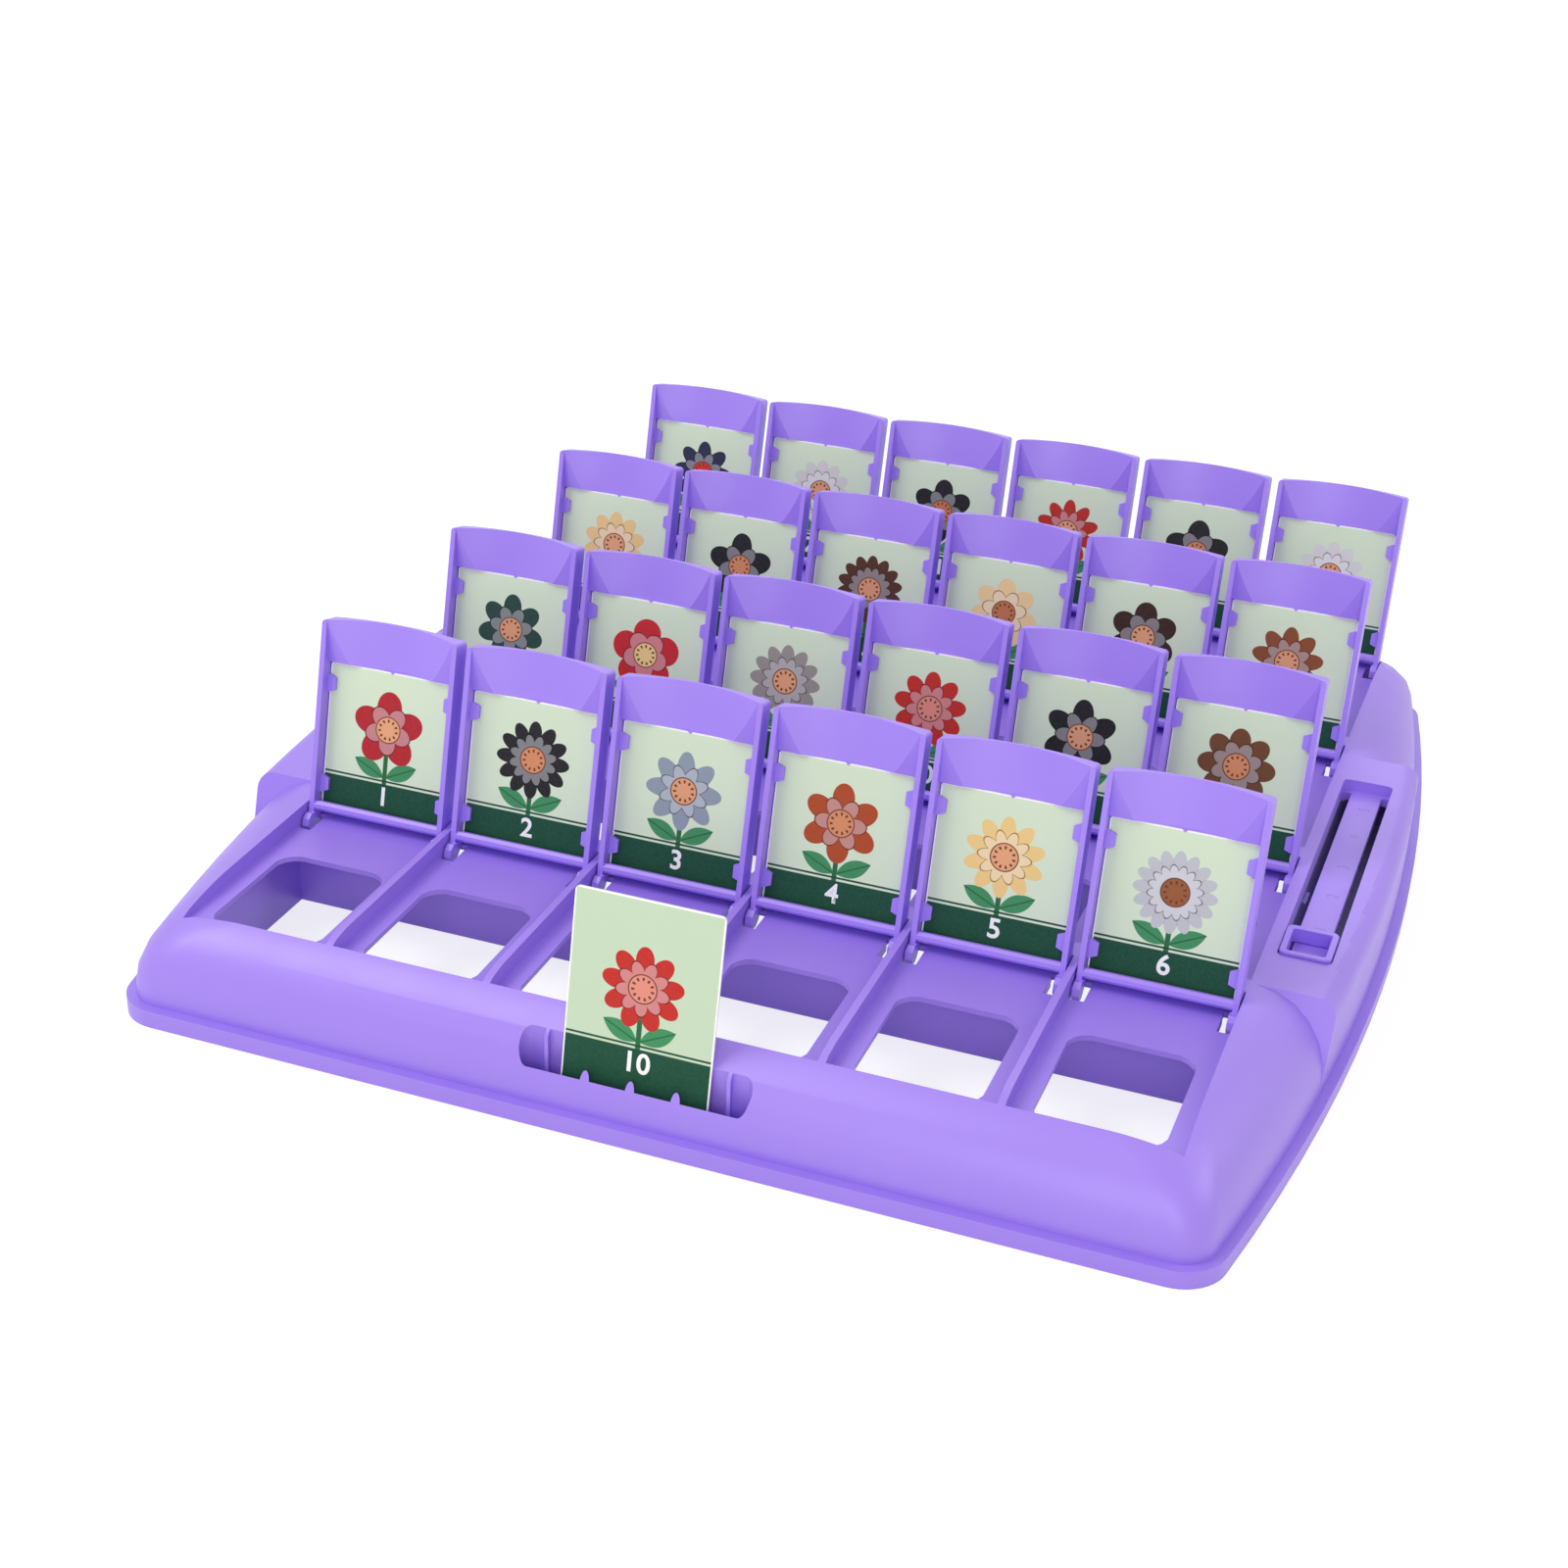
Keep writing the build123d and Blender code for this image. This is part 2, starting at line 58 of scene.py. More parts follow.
# %% Pin lines and leans
ROWS = 4
COLUMNS = 6
FLIP_LEAN = math.radians(14)
joints = {joint["name"]: joint for joint in frame["joints"]}
pin_lines = {
    (row, column): np.array(joints[f"hinge_r{row + 1}_c{column + 1}"]["pos_m"])
    for row in range(ROWS)
    for column in range(COLUMNS)
}
first_pin = pin_lines[0, 0]
column_pitch = pin_lines[0, 1][0] - first_pin[0]
row_pitch = pin_lines[1, 0][1] - first_pin[1]
print("pitch of columns and rows in mm:", column_pitch / MM, row_pitch / MM)

lift_axis = joints["mystery_card_lift"]["axis"]
MYSTERY_LEAN = math.atan2(lift_axis[1], lift_axis[2])
MYSTERY_FOOT = np.array([0.0, -0.1293, 0.0052])
print("mystery card leans back", round(math.degrees(MYSTERY_LEAN), 1), "degrees")

# %% [markdown]
# ## Camera
#
# A product picture of a board game is taken from above the player's shoulder. The lens is a little
# longer than a normal one, so that the rows keep nearly the same size. A camera could be aimed by a
# constraint, but this view is a fixed one, so its place and its three turns are plain numbers.

# %% Place the camera
camera_data = bpy.data.cameras.new("camera")
camera_data.sensor_width = 36.0
camera_data.lens = 56.27
camera_data.shift_x = -0.0030
camera_data.shift_y = 0.0026
camera = bpy.data.objects.new("camera", camera_data)
camera.location = (0.16166, -0.49458, 0.28646)
camera.rotation_euler = [math.radians(turn) for turn in (62.491, -1.822, 20.705)]
bpy.context.scene.collection.objects.link(camera)
bpy.context.scene.camera = camera
print("camera at", tuple(camera.location))

# %% [markdown]
# ## Shader maths
#
# A print is a formula: how far a point is from a petal's edge, and which ink lies there. Blender
# writes a formula as a net of Math nodes, which is hard to read. A small class wraps a socket and
# gives it Python's own operators, so that the formula can be written as one. The recipe class holds
# the one method that makes any other node, for a material and for the world alike.

# %% A recipe of nodes, and a reading that changes over a surface
def ink(code):
    """Linear colour of a hex code: each channel c becomes c/12.92 or ((c+0.055)/1.055)^2.4."""
    parts = [int(code[place:place + 2], 16) / 255 for place in (0, 2, 4)]
    linear = [c / 12.92 if c <= 0.04045 else ((c + 0.055) / 1.055) ** 2.4 for c in parts]
    return (*linear, 1.0)


WHITE = ink("FFFFFF")


class Recipe:
    """The nodes of a material, or of the world, in the making."""

    def __init__(self, owner):
        owner.use_nodes = True
        self.owner = owner
        self.tree = owner.node_tree
        self.tree.nodes.clear()

    def feed(self, socket, value):
        """Give a socket a link or a fixed value."""
        if isinstance(value, Reading):
            value = value.socket
        if isinstance(value, bpy.types.NodeSocket):
            self.tree.links.new(value, socket)
        else:
            socket.default_value = value

    def node(self, kind, settings=None, inputs=None):
        """One node: settings first (a ramp's stops are (place, colour) pairs), then its inputs."""
        made = self.tree.nodes.new(kind)
        for name, value in (settings or {}).items():
            if name == "stops":
                ramp = made.color_ramp
                while len(ramp.elements) < len(value):
                    ramp.elements.new(1.0)
                for element, (place, colour) in zip(ramp.elements, value):
                    element.position = place
                    element.color = colour
            elif name == "interpolation":
                made.color_ramp.interpolation = value
            else:
                setattr(made, name, value)
        for socket, value in (inputs or {}).items():
            self.feed(made.inputs[socket], value)
        return made

    def place(self):
        """Object coordinates as three readings in millimetres, and as a vector in metres."""
        vector = self.node("ShaderNodeTexCoord").outputs["Object"]
        parts = self.node("ShaderNodeSeparateXYZ", inputs={0: vector})
        return [Reading(self, parts.outputs[axis]) * (1 / MM) for axis in "XYZ"], vector

    def noise(self, vector, scale, detail):
        """Smooth noise between 0 and 1, with so many waves to the metre."""
        inputs = {"Vector": vector, "Scale": scale, "Detail": detail}
        return Reading(self, self.node("ShaderNodeTexNoise", inputs=inputs).outputs["Fac"])

    def mix(self, factor, first, second, blend="MIX"):
        """Colour that goes from the first to the blended second as the factor goes from 0 to 1."""
        settings = {"data_type": "RGBA", "blend_type": blend}
        made = self.node("ShaderNodeMix", settings, {0: factor, 6: first, 7: second})
        return made.outputs[2]

    def bump(self, height, distance, strength):
        """Normal tilted by a height between 0 and 1, which stands for so many metres."""
        inputs = {"Height": height, "Distance": distance, "Strength": strength}
        return self.node("ShaderNodeBump", inputs=inputs).outputs[0]

    def finish(self, inputs):
        """Principled surface with these inputs."""
        shader = self.node("ShaderNodeBsdfPrincipled", inputs=inputs)
        self.node("ShaderNodeOutputMaterial", inputs={"Surface": shader.outputs[0]})
        return self.owner


class Reading:
    """A number that changes over a surface. Arithmetic on it adds Math nodes."""

    def __init__(self, recipe, socket):
        self.recipe = recipe
        self.socket = socket

    def maths(self, operation, *values, clamp=False):
        """A Math node with the given values in its sockets."""
        settings = {"operation": operation, "use_clamp": clamp}
        made = self.recipe.node("ShaderNodeMath", settings, dict(enumerate(values)))
        return Reading(self.recipe, made.outputs[0])

    def __add__(self, other):
        return self.maths("ADD", self, other)

    __radd__ = __add__

    def __sub__(self, other):
        return self.maths("SUBTRACT", self, other)

    def __rsub__(self, other):
        return self.maths("SUBTRACT", other, self)

    def __mul__(self, other):
        return self.maths("MULTIPLY", self, other)

    __rmul__ = __mul__

    def __truediv__(self, other):
        return self.maths("DIVIDE", self, other)

    def __pow__(self, other):
        return self.maths("POWER", self, other)

    def __abs__(self):
        return self.maths("ABSOLUTE", self)

    def floor(self):
        return self.maths("FLOOR", self)

    def cos(self):
        return self.maths("COSINE", self)

    def root(self):
        return self.maths("SQRT", self)

    def turn(self, other):
        """Angle of the point (other, self) about the origin."""
        return self.maths("ARCTAN2", self, other)

    def larger(self, other):
        return self.maths("MAXIMUM", self, other)

    def inside(self, blur=0.12):
        """1 where the reading is above 0 and 0 where it is below, blurred over so many mm."""
        return self.maths("ADD", self * (1 / blur), 0.5, clamp=True)


print("shader maths ready")

# %% [markdown]
# ## Violet plastic
#
# The board, frames and marker are moulded in one violet polypropylene. It is satin: the mould's
# skin breaks up reflections, and the colour drifts slightly where the melt cooled at different
# speeds. One flat colour would look like paint. So a wide noise drifts the colour, a second one
# varies the roughness, like the touch of hands, and a fine one tilts the normal. All of them read
# Object coordinates, so they stay on the piece when it moves.

# %% Make the plastics
def violet_plastic(name, body, deep, roughness):
    """Satin moulded plastic that drifts between two violets."""
    recipe = Recipe(bpy.data.materials.new(name))
    _, vector = recipe.place()
    drift = recipe.noise(vector, scale=22.0, detail=3.0)
    touch = recipe.noise(vector, scale=90.0, detail=4.0)
    skin = recipe.noise(vector, scale=2600.0, detail=1.0)
    return recipe.finish({
        "Base Color": recipe.mix(drift, deep, body),
        "Roughness": roughness + 0.12 * touch,
        "Normal": recipe.bump(skin, distance=0.00004, strength=0.35),
        "IOR": 1.7,
    })


plastics = {
    "board": violet_plastic("board violet", ink("A181EA"), ink("9876E4"), 0.36),
    "frame": violet_plastic("frame violet", ink("A787F2"), ink("9F7CEE"), 0.34),
    "marker": violet_plastic("marker violet", ink("9D7CEE"), ink("9370EA"), 0.34),
}
for name, node in frame["nodes"].items():
    kind = {"board": "board", "score_marker": "marker"}.get(name, "frame")
    if not name.startswith(("card", "mystery")):
        node.data.materials[0] = plastics[kind]
print("plastics:", sorted(plastics))

# %% [markdown]
# ## Soft edges
#
# No moulded edge is truly sharp: the tool's own corners are rounded, and such an edge catches a thin
# line of light. The solids come as loose triangles, so a Weld modifier joins them first. Curved
# faces would still look facetted, so a small geometry-nodes group drops the stored normals and
# shades every edge smooth that turns by less than a set angle. The angle is small for the frames,
# whose finger dish ends in a gentle crease that should show. A Bevel modifier then rounds the edges
# that turn by more. Rounding them in CAD would cost thousands of faces. The meshes stay as they are.

# %% Weld, smooth and bevel the plastic pieces
WELD_GAP = 0.002
BEVEL_ANGLE = 38
SHELL_CREASE = 38
FRAME_CREASE = 12
SHELL_EDGE = 0.35
FRAME_EDGE = 0.22


def smooth_by_angle(degrees):
    """Geometry nodes that shade faces smooth and keep edges sharp that turn by more."""
    group = bpy.data.node_groups.new(f"smooth below {degrees} degrees", "GeometryNodeTree")
    for direction in ("INPUT", "OUTPUT"):
        group.interface.new_socket("Geometry", in_out=direction, socket_type="NodeSocketGeometry")
    nodes = group.nodes
    links = group.links
    forget = nodes.new("GeometryNodeRemoveAttribute")
    forget.inputs["Name"].default_value = "custom_normal"
    faces = nodes.new("GeometryNodeSetShadeSmooth")
    edges = nodes.new("GeometryNodeSetShadeSmooth")
    edges.domain = "EDGE"
    angle = nodes.new("GeometryNodeInputMeshEdgeAngle")
    gentle = nodes.new("ShaderNodeMath")
    gentle.operation = "LESS_THAN"
    gentle.inputs[1].default_value = math.radians(degrees)
    links.new(angle.outputs["Unsigned Angle"], gentle.inputs[0])
    links.new(gentle.outputs[0], edges.inputs["Shade Smooth"])
    links.new(nodes.new("NodeGroupInput").outputs[0], forget.inputs[0])
    links.new(forget.outputs[0], faces.inputs[0])
    links.new(faces.outputs[0], edges.inputs[0])
    links.new(edges.outputs[0], nodes.new("NodeGroupOutput").inputs[0])
    return group


def soften_edges(node, smoothing, width):
    """Shade a CAD piece smoothly, and round its sharp edges by so many mm."""
    node.modifiers.new("weld", "WELD").merge_threshold = WELD_GAP * MM
    node.modifiers.new("smooth by angle", "NODES").node_group = smoothing
    bevel = node.modifiers.new("soft edges", "BEVEL")
    bevel.width = width * MM
    bevel.segments = 2
    bevel.limit_method = "ANGLE"
    bevel.angle_limit = math.radians(BEVEL_ANGLE)
    bevel.harden_normals = True


shell_smoothing = smooth_by_angle(SHELL_CREASE)
frame_smoothing = smooth_by_angle(FRAME_CREASE)
for name, node in frame["nodes"].items():
    if name == "board":
        soften_edges(node, shell_smoothing, SHELL_EDGE)
    elif name.startswith("frame") or name == "score_marker":
        soften_edges(node, frame_smoothing, FRAME_EDGE)
print("edges softened")

# %% [markdown]
# ## Printed cards
#
# Each card is white board with a print on its front: a pale green ground, a flower of its own, and a
# dark green band with a number. An image would need its own file and a layout on the mesh, so the
# print is drawn by formula. One material prints the whole set: it works out which card a point lies
# on, and looks the card's flower up in this table.

# %% The set of 24 flowers
# petals, notch depth, petal shape, petal ink, heart ink
FLOWERS = [
    (5, 0.42, 0.9, "B5222A", "E9A77A"), (12, 0.30, 0.8, "1D1B1F", "D98F63"),
    (8, 0.36, 1.2, "8F9BA8", "E2A077"), (6, 0.50, 0.8, "B04A22", "D98F63"),
    (10, 0.34, 1.0, "F0CE86", "E9A77A"), (16, 0.22, 0.8, "C3C4C8", "9A5B34"),
    (7, 0.40, 0.8, "24453C", "E2A077"), (5, 0.34, 0.7, "C8242C", "F2D08A"),
    (12, 0.26, 0.9, "9A948C", "E9A77A"), (9, 0.38, 0.7, "C42A22", "E48F7E"),
    (6, 0.46, 1.0, "17161A", "DFA078"), (8, 0.30, 0.8, "6E4327", "D98F63"),
    (10, 0.30, 0.8, "EBC98B", "E9A77A"), (5, 0.48, 1.0, "1B1A22", "D98F63"),
    (14, 0.22, 0.9, "54301F", "E2A077"), (7, 0.36, 0.8, "F2D49A", "C9794E"),
    (6, 0.40, 0.7, "3A2018", "E9A77A"), (9, 0.32, 1.0, "8C4A2A", "E2A077"),
    (8, 0.40, 0.9, "2A2C4C", "D8332F"), (12, 0.24, 0.8, "D5D3CE", "E2A077"),
    (6, 0.44, 0.8, "1A191D", "C9794E"), (10, 0.36, 0.9, "BE2B24", "E9A77A"),
    (5, 0.40, 1.1, "20201F", "D98F63"), (11, 0.28, 0.8, "DAD9D6", "E9A77A"),
]
MYSTERY = 9
print("flowers in the set:", len(FLOWERS))

# %% [markdown]
# ### Stem, leaves, band and cut edge
#
# A print is made in layers, as on a press: each layer is a mask, 1 where its ink lies, and an ink.
# A mask comes from a distance in millimetres, which is above 0 inside the shape. A leaf is a flat
# ellipse-like patch on a line that rises at an angle from the stem. Taking across without its sign
# draws both leaves at once.

# %% Layers that every card shares
GROUND = ink("D8E8CA")
# Painted shade: the mystery card's ground is the same green drawn darker, because that card stands in
# the open and takes more light than the framed cards.
MYSTERY_GROUND_PAINTED_SHADE = ink("C8DABD")
BAND = ink("0B4A34")
LEAF = ink("3E8F5C")
LEAF_DARK = ink("24693F")
FLOWER_HEIGHT = 23.6
STEM_HALF = 0.55
LEAF_FOOT = 12.4
LEAF_SLOPE = math.radians(25)
LEAF_MIDDLE = 4.4
LEAF_HALF_LENGTH = 4.123
LEAF_HALF_WIDTH = 1.9
VEIN_HALF = 0.16
BAND_TOP = 11.0
BAND_LINE_ABOVE = 0.7
BAND_LINE_HALF = 0.22
CUT_EDGE = 0.3


def stroke(distance, half_width):
    """Mask of a line: 1 where the distance from its middle is less than its half width."""
    return (half_width - abs(distance)).inside()


def stem_and_leaves(across, up):
    """Layers. With s along a leaf and t aside from it, the leaf is |t| < W (1 - s^2 / L^2)."""
    stem = stroke(across, STEM_HALF) * (FLOWER_HEIGHT - up).inside()
    out = abs(across)
    rise = up - LEAF_FOOT
    along = out * math.cos(LEAF_SLOPE) + rise * math.sin(LEAF_SLOPE) - LEAF_MIDDLE
    aside = rise * math.cos(LEAF_SLOPE) - out * math.sin(LEAF_SLOPE)
    half = LEAF_HALF_WIDTH * (1 - along * along / LEAF_HALF_LENGTH ** 2)
    leaf = (half - abs(aside)).inside()
    return [(stem, LEAF_DARK), (leaf, LEAF), (stroke(aside, VEIN_HALF) * leaf, LEAF_DARK)]


def band_and_cut(across, up, half_width, top):
    """Layers of the dark band, the thin line above it and the hair of white stock at the cut."""
    band = (BAND_TOP - up).inside()
    line = stroke(up - BAND_TOP - BAND_LINE_ABOVE, BAND_LINE_HALF)
    cut = (up + CUT_EDGE - top).inside() + (abs(across) + CUT_EDGE - half_width).inside()
    return [(band, BAND), (line, BAND), (cut, WHITE)]


print("leaf in mm:", 2 * LEAF_HALF_LENGTH, "x", 2 * LEAF_HALF_WIDTH)

# %% [markdown]
# ### Flower
#
# A flower is drawn in polar coordinates, which suit anything that repeats round a middle. The
# distance from its middle to a petal's edge is R(a) = R0 (1 - d (1 - |cos(n a / 2)|^p)), with n
# petals, a notch depth d and a petal shape p. A colour ramp with 24 constant steps holds n, d and p
# for all cards, and two more hold their inks. A smaller flower of the same formula, turned by half a
# petal, lies inside the first.

# %% Layers of one flower
FLOWER_RADIUS = 8.8
INNER_SHARE = 0.66
INNER_RIM_HALF = 0.14
PETAL_GAP_HALF = 0.16
PETAL_GAP_SPREAD = 0.9
PETAL_LIGHT = 0.22
PETAL_SHADE = ink("9C8C8C")
HEART_RADIUS = 0.34 * FLOWER_RADIUS
HEART_RING_HALF = 0.13
SEEDS = 11
SEED_RING = 2.1
SEED_HALF = 0.34
SEED_INK = ink("6B3A22")
MOST_PETALS = 32
MOST_POWER = 2


def steps(recipe, index, colours):
    """The colour with this index, from a ramp with one constant step for each colour."""
    count = len(colours)
    stops = [(place / count, colour) for place, colour in enumerate(colours)]
    settings = {"interpolation": "CONSTANT", "stops": stops}
    ramp = recipe.node("ShaderNodeValToRGB", settings, {0: (index + 0.5) / count})
    return ramp.outputs[0]


def flower_head(recipe, across, up, index):
    """Layers of the petals, the inner petals and the heart."""
    # A ramp's colours lie between 0 and 1, so the numbers are scaled to fit and scaled back.
    shapes = [(n / MOST_PETALS, d, p / MOST_POWER, 1.0) for n, d, p, _, _ in FLOWERS]
    parts = recipe.node("ShaderNodeSeparateColor", inputs={0: steps(recipe, index, shapes)})
    petals = Reading(recipe, parts.outputs[0]) * MOST_PETALS
    notch = Reading(recipe, parts.outputs[1])
    power = Reading(recipe, parts.outputs[2]) * MOST_POWER
    petal_ink = steps(recipe, index, [ink(flower[3]) for flower in FLOWERS])
    heart_ink = steps(recipe, index, [ink(flower[4]) for flower in FLOWERS])
    shade = recipe.mix(1.0, petal_ink, PETAL_SHADE, blend="MULTIPLY")
    light = recipe.mix(PETAL_LIGHT, petal_ink, WHITE)

    rise = up - FLOWER_HEIGHT
    radius = (across * across + rise * rise).root()
    angle = across.turn(rise)
    wave = abs((angle * petals * 0.5).cos())
    wave_between = abs((angle * petals * 0.5 + math.pi / 2).cos())
    edge = FLOWER_RADIUS * (1 - notch * (1 - wave ** power))
    inner_edge = INNER_SHARE * FLOWER_RADIUS * (1 - notch * (1 - wave_between ** power))
    flower = (edge - radius).inside()
    gap = (PETAL_GAP_HALF - wave * radius * PETAL_GAP_SPREAD).inside() * flower
    seeds = ((angle * SEEDS).cos() - 0.35).inside(0.3) * stroke(radius - SEED_RING, SEED_HALF)
    return [
        (flower, petal_ink),
        (gap, shade),
        ((inner_edge - radius).inside(), light),
        (stroke(inner_edge - radius, INNER_RIM_HALF), shade),
        ((HEART_RADIUS - radius).inside(), heart_ink),
        (seeds, SEED_INK),
        (stroke(radius - HEART_RADIUS, HEART_RING_HALF), SEED_INK),
    ]


print("flower in mm:", 2 * FLOWER_RADIUS, "heart:", round(2 * HEART_RADIUS, 2))

# %% [markdown]
# ### Card stock
#
# The print lies on the front face only; the edges and the back are bare stock. Depth behind the
# front tells them apart. The cards are baked in place, upright and leaning, so the point is first
# turned back by the lean. Floor functions of x and y then say in which column and row it lies,
# which gives the card's index. The coated face has a fine grain that breaks up its shine.

# %% Print the cards
CARD_FRONT = 3.55
CARD_HALF_WIDTH = 15.4
CARD_TOP = 36.85
ROW_AHEAD = 20
MYSTERY_SINK = 3.1
MYSTERY_HALF_WIDTH = 15.8
MYSTERY_TOP = 45 - MYSTERY_SINK
PRINT_DEPTH = 0.06


def turned_back(back, high, lean):
    """The point (back, high) turned by the lean: height up the card, and depth behind its foot."""
    up = high * math.cos(lean) + back * math.sin(lean)
    depth = back * math.cos(lean) - high * math.sin(lean)
    return up, depth


def row_card_place(x, y, z):
    """Across, up, depth and index: x and y give the column and the row, counted from the first pin."""
    wide = column_pitch / MM
    deep = row_pitch / MM
    right = x - first_pin[0] / MM
    column = (right / wide + 0.5).floor()
    behind = y - first_pin[1] / MM
    row = ((behind + ROW_AHEAD) / deep).floor()
    up, depth = turned_back(behind - row * deep, z - first_pin[2] / MM, FLIP_LEAN)
    return right - column * wide, up, depth - CARD_FRONT, row * COLUMNS + column


def mystery_place(x, y, z):
    """The same from the foot of the mystery card, which stands deeper in its slot."""
    foot = MYSTERY_FOOT / MM
    up, depth = turned_back(y - foot[1], z - foot[2], MYSTERY_LEAN)
    return x, up - MYSTERY_SINK, depth, MYSTERY


def coated_card(name, card_place, half_width, top, ground):
    """Card stock with a print on the face that looks to the player."""
    recipe = Recipe(bpy.data.materials.new(name))
    (x, y, z), vector = recipe.place()
    across, up, depth, index = card_place(x, y, z)
    print_colour = ground
    for mask, layer_ink in (
        stem_and_leaves(across, up)
        + flower_head(recipe, across, up, index)
        + band_and_cut(across, up, half_width, top)
    ):
        print_colour = recipe.mix(mask, print_colour, layer_ink)
    grain = recipe.noise(vector, scale=1500.0, detail=3.0)
    fade = recipe.mix(0.03 * grain, print_colour, WHITE)
    stock = recipe.mix(grain, ink("F4F4EE"), ink("E6E6DD"))
    return recipe.finish({
        "Base Color": recipe.mix((PRINT_DEPTH - depth).inside(0.02), stock, fade),
        "Roughness": 0.5 + 0.15 * grain,
        "Normal": recipe.bump(grain, distance=0.00003, strength=0.3),
        "IOR": 1.2,
    })


card_print = coated_card("printed cards", row_card_place, CARD_HALF_WIDTH, CARD_TOP, GROUND)
# The mystery card gets the darker ground, which is painted shade.
mystery_print = coated_card(
    "printed mystery card", mystery_place, MYSTERY_HALF_WIDTH, MYSTERY_TOP, MYSTERY_GROUND_PAINTED_SHADE
)
for name, node in frame["nodes"].items():
    if name.startswith("card"):
        node.data.materials[0] = card_print
frame["nodes"]["mystery_card"].data.materials[0] = mystery_print
print("nodes in the card material:", len(card_print.node_tree.nodes))

# %% [markdown]
# ## Numbers on the cards
#
# Players need to name the cards, so each band carries a number. A number is lettering, and Blender
# has a text object for that. It is turned into a mesh while it still lies flat at the origin, and its
# points are then moved onto the card, because a finished piece keeps its place in its mesh. It lies
# a hair in front of the card, so that the two faces don't fight.

# %% Lettering as a mesh that lies on a plane
CAPITAL_SHARE = 0.7
NUMBER_UP = 7.9
NUMBER_HEIGHT = 4.2
NUMBER_BOLDNESS = 0.13
LIFT = 0.015


def white_ink():
    """Screen-printed white, a little uneven."""
    recipe = Recipe(bpy.data.materials.new("white ink"))
    _, vector = recipe.place()
    spread = recipe.noise(vector, scale=1800.0, detail=2.0)
    return recipe.finish({
        "Base Color": recipe.mix(spread, WHITE, ink("EDEFEA")),
        "Roughness": 0.4 + 0.1 * spread,
    })


def lettering(name, words, height, boldness, place, material):
    """Mesh of some words. place turns an (n, 3) array of flat points in mm into metres."""
    curve = bpy.data.curves.new(name, "FONT")
    curve.body = words
    curve.align_x = "CENTER"
    curve.align_y = "CENTER"
    curve.size = height / CAPITAL_SHARE
    curve.offset = boldness
    curve.resolution_u = 6
    flat = bpy.data.objects.new(name + "_flat", curve)
    bpy.context.scene.collection.objects.link(flat)
    bpy.context.view_layer.update()
    mesh = bpy.data.meshes.new_from_object(flat)
    bpy.data.objects.remove(flat)
    points = np.empty(len(mesh.vertices) * 3)
    mesh.vertices.foreach_get("co", points)
    mesh.vertices.foreach_set("co", place(points.reshape(-1, 3)).ravel())
    mesh.update()
    mesh.name = name
    mesh.materials.clear()
    mesh.materials.append(material)
    piece = bpy.data.objects.new(name, mesh)
    bpy.context.scene.collection.objects.link(piece)
    return piece


def on_leaning_plane(foot, lean, up, depth):
    """Places flat points on a plane that leans back: x stays across, y goes up the plane."""
    def place(points):
        across = points[:, 0]
        high = points[:, 1] + up
        y = depth * math.cos(lean) + high * math.sin(lean)
        z = -depth * math.sin(lean) + high * math.cos(lean)
        return foot + np.stack([across, y, z], axis=1) * MM
    return place


number_ink = white_ink()
for (row, column), pin in pin_lines.items():
    mark = f"r{row + 1}_c{column + 1}"
    place = on_leaning_plane(pin, FLIP_LEAN, NUMBER_UP, CARD_FRONT - LIFT)
    number = str(row * COLUMNS + column + 1)
    piece = lettering(
        "number_" + mark, number, NUMBER_HEIGHT, NUMBER_BOLDNESS, place, number_ink
    )
    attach(piece, "flip_" + mark)
place = on_leaning_plane(MYSTERY_FOOT, MYSTERY_LEAN, NUMBER_UP + MYSTERY_SINK, -LIFT)
piece = lettering(
    "number_mystery", str(MYSTERY + 1), NUMBER_HEIGHT, NUMBER_BOLDNESS, place, number_ink
)
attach(piece, "mystery_card")
print("numbers on cards:", len(pin_lines) + 1)

# %% [markdown]
# ## Digits on the score strip
#
# The strip of the score track carries the digits 1 to 5, low and in the plastic's own colour. Here
# they are drawn in a darker violet: painted shade, which stands in for the shade of their relief so
# that they can be read. The player reads them from the right side of the board, so they are turned
# a quarter. They are made as the numbers are, on a level plane.

# %% Place the digits
SCORE_X = 0.1165
SCORE_TOP = 0.0202
SCORE_PLACES = (-0.0275, -0.0122, 0.0020, 0.0177, 0.0321)
SCORE_HEIGHT = 2.6


def on_score_strip(y):
    """Places flat points on the strip, with their tops to the left."""
    def place(points):
        level = np.full(len(points), SCORE_TOP + LIFT * MM)
        return np.stack([SCORE_X - points[:, 1] * MM, y + points[:, 0] * MM, level], axis=1)
    return place


# Painted shade: the digits' darker violet stands in for the shade of their relief.
digit_painted_shade_plastic = violet_plastic("digit violet painted shade", ink("8A63DC"), ink("7F58D2"), 0.34)
for score, y in enumerate(SCORE_PLACES, start=1):
    piece = lettering(
        f"score_{score}", str(score), SCORE_HEIGHT, 0.0, on_score_strip(y), digit_painted_shade_plastic
    )
    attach(piece, "board")
print("digits on the score strip:", len(SCORE_PLACES))

# %% [markdown]
# ## Floor
#
# The toy stands on plain white paper. A wide floor catches its shadow. A brighter lamp would make
# the paper white and bleach the toy, so the paper is topped up with a glow only for the rays that
# see it, from the camera, in a reflection or through clear things. Light Path tells these rays
# apart. The patch of paper right under the score track gets no glow: it is a painted shadow, which
# keeps the track's slots as dark as the shade under the board.

# %% White paper
PAPER = (0.92, 0.92, 0.92, 1.0)
PAPER_GLOW = 0.6
GLOW_STRENGTH = 1.25
# Painted shadow under the score track: its middle, half sizes and blur in mm.
TRACK_SHADOW_MIDDLE = (113.5, 30.0)
TRACK_SHADOW_HALF = (6.5, 60.0)
TRACK_SHADOW_BLUR = 2.0
FLOOR_HALF = 6.0


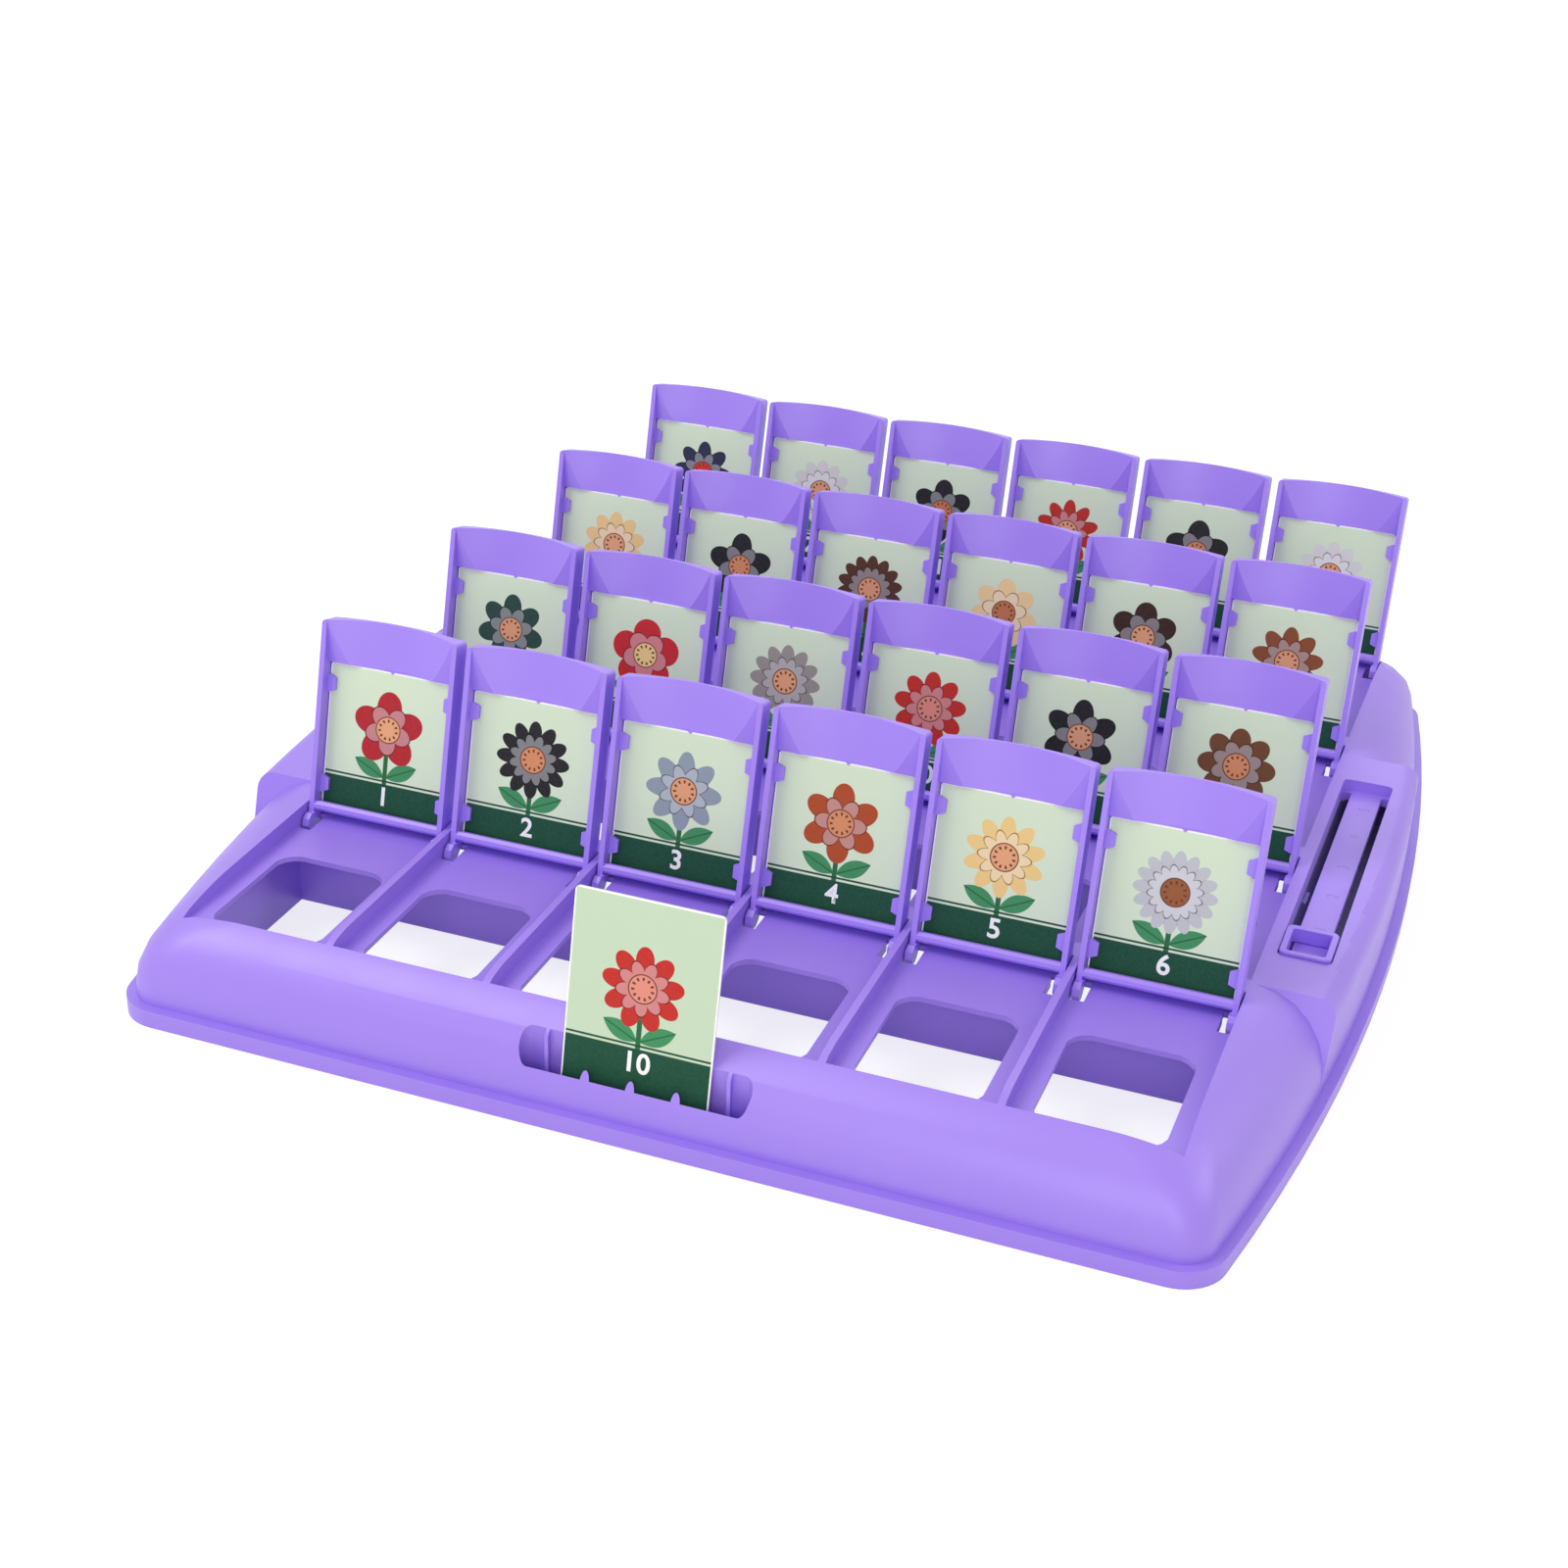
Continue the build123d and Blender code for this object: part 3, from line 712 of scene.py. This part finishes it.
def ray_sees(recipe):
    """1 for a ray that shows what it hits: from the camera, in a reflection or through glass."""
    path = recipe.node("ShaderNodeLightPath")
    seen = Reading(recipe, path.outputs["Is Camera Ray"])
    return seen.larger(path.outputs["Is Glossy Ray"]).larger(path.outputs["Is Transmission Ray"])


def white_paper():
    """White paper with a glow for the rays that see it, but none in the painted shadow under the score
    track.
    """
    recipe = Recipe(bpy.data.materials.new("white paper"))
    (x, y, _), _ = recipe.place()
    # Painted shadow: a blurred box under the score track where the glow is left out.
    aside = TRACK_SHADOW_HALF[0] - abs(x - TRACK_SHADOW_MIDDLE[0])
    along = TRACK_SHADOW_HALF[1] - abs(y - TRACK_SHADOW_MIDDLE[1])
    dark = aside.inside(TRACK_SHADOW_BLUR) * along.inside(TRACK_SHADOW_BLUR)
    paper = recipe.node("ShaderNodeBsdfDiffuse", inputs={"Color": PAPER})
    glow = recipe.node("ShaderNodeEmission", inputs={"Strength": GLOW_STRENGTH})
    glowing = ray_sees(recipe) * (1 - dark) * PAPER_GLOW
    both = recipe.node(
        "ShaderNodeMixShader", inputs={0: glowing, 1: paper.outputs[0], 2: glow.outputs[0]}
    )
    recipe.node("ShaderNodeOutputMaterial", inputs={"Surface": both.outputs[0]})
    return recipe.owner


corners = np.array([(-1, -1, 0), (1, -1, 0), (1, 1, 0), (-1, 1, 0)]) * FLOOR_HALF
floor_mesh = bpy.data.meshes.new("floor")
floor_mesh.from_pydata(corners.tolist(), [], [(0, 1, 2, 3)])
floor_mesh.materials.append(white_paper())
floor = bpy.data.objects.new("floor", floor_mesh)
bpy.context.scene.collection.objects.link(floor)
print("floor side in metres:", 2 * FLOOR_HALF)

# %% [markdown]
# ## Light
#
# Four large square lamps stand round the toy, as soft boxes in a studio do: the key on the left,
# fainter ones in front, on the right and behind. A white world fills the shadows. It is white to the
# rays that see it and half as strong to the rest, so that hollows stay darker than faces. View
# transform Standard keeps colours as they are written.

# %% World and lamps
WORLD_FILL = 0.5
LAMP_AIM = (0, 0, 0.02)
# place and side in metres, power in watts
LAMPS = {
    "key": ((-0.7, -0.4, 1.1), 0.7, 7.0),
    "front": ((0.3, -1.3, 0.6), 0.8, 5.2),
    "right": ((1.1, 0.3, 0.8), 0.7, 3.6),
    "back": ((-0.2, 1.1, 0.9), 0.9, 3.0),
}

studio = Recipe(bpy.data.worlds.new("studio"))
strength = WORLD_FILL + (1 - WORLD_FILL) * ray_sees(studio)
background = studio.node("ShaderNodeBackground", inputs={"Color": WHITE, "Strength": strength})
studio.node("ShaderNodeOutputWorld", inputs={"Surface": background.outputs[0]})
bpy.context.scene.world = studio.owner

for name, (place, side, power) in LAMPS.items():
    lamp_data = bpy.data.lights.new(name, "AREA")
    lamp_data.size = side
    lamp_data.energy = power
    lamp = bpy.data.objects.new(name, lamp_data)
    lamp.location = place
    aim = Vector(LAMP_AIM) - Vector(place)
    lamp.rotation_euler = aim.to_track_quat("-Z", "Y").to_euler()
    bpy.context.scene.collection.objects.link(lamp)
bpy.context.scene.view_settings.view_transform = "Standard"
print("lamps:", list(LAMPS))
